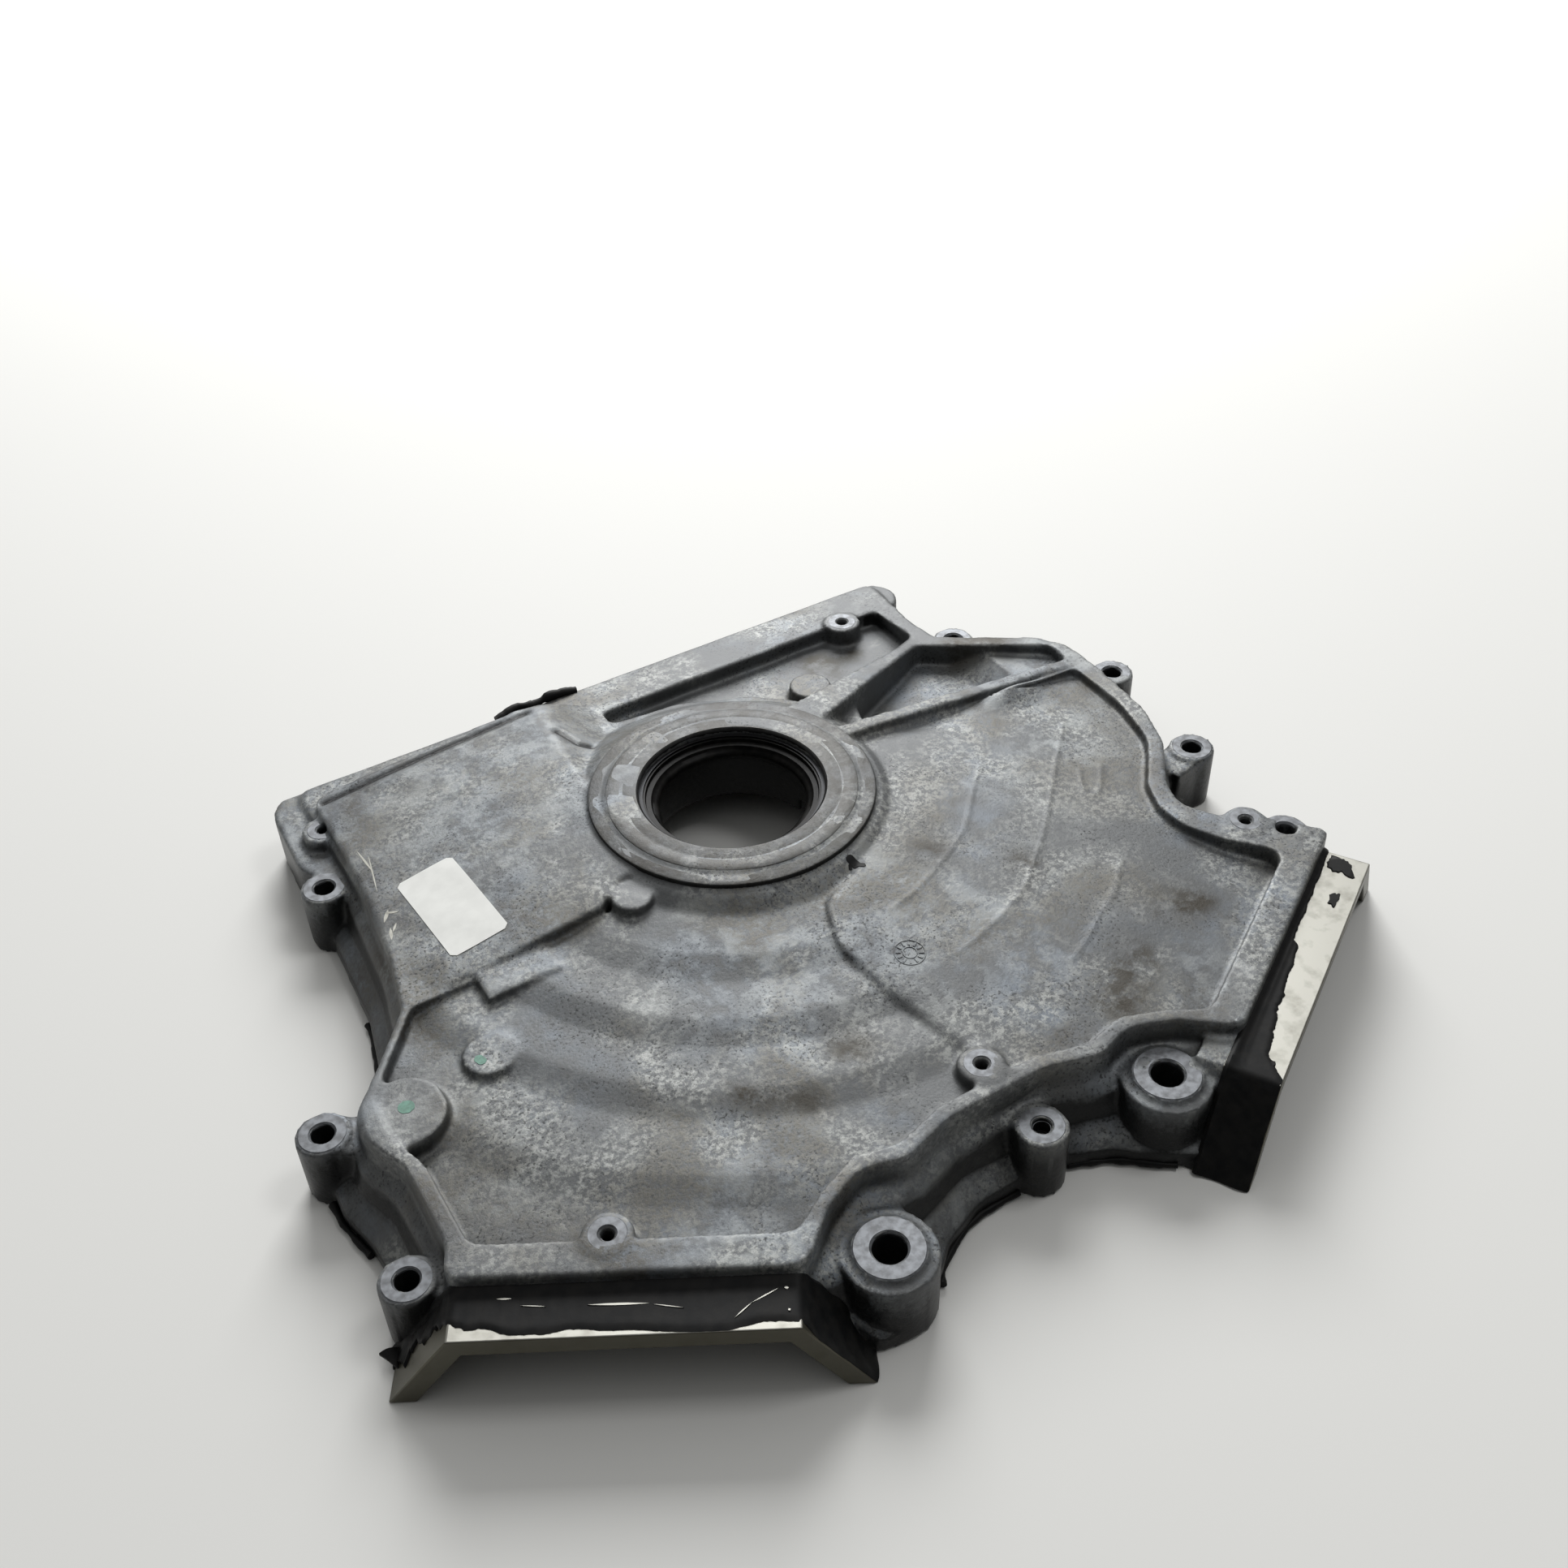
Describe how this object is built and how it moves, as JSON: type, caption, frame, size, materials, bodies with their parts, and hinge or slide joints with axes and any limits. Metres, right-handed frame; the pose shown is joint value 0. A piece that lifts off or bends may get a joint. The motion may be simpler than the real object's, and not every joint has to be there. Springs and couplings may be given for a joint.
{
  "type": "engine timing cover",
  "caption": "Die-cast front timing cover of a vee engine with a crankshaft seal, bolt bosses, a flat oil pan face and two bank spigots carrying sealant.",
  "frame": {"origin": "crankshaft axis on the face that bolts to the engine block", "axes": "+Z out of the engine along the crankshaft, +Y from the oil pan face to the vee between the banks"},
  "size_m": [0.4424, 0.3717, 0.052],
  "materials": {
    "cast_aluminium": "as cast, stained",
    "seal_steel": "dull",
    "seal_rubber": "oily satin",
    "silicone_sealant": "satin"
  },
  "bodies": {
    "root": {"cover_casting": "cast_aluminium", "seal_case": "seal_steel", "seal_lip": "seal_rubber", "flange_sealant": "silicone_sealant", "left_bank_sealant": "silicone_sealant", "right_bank_sealant": "silicone_sealant"}
  },
  "joints": []
}
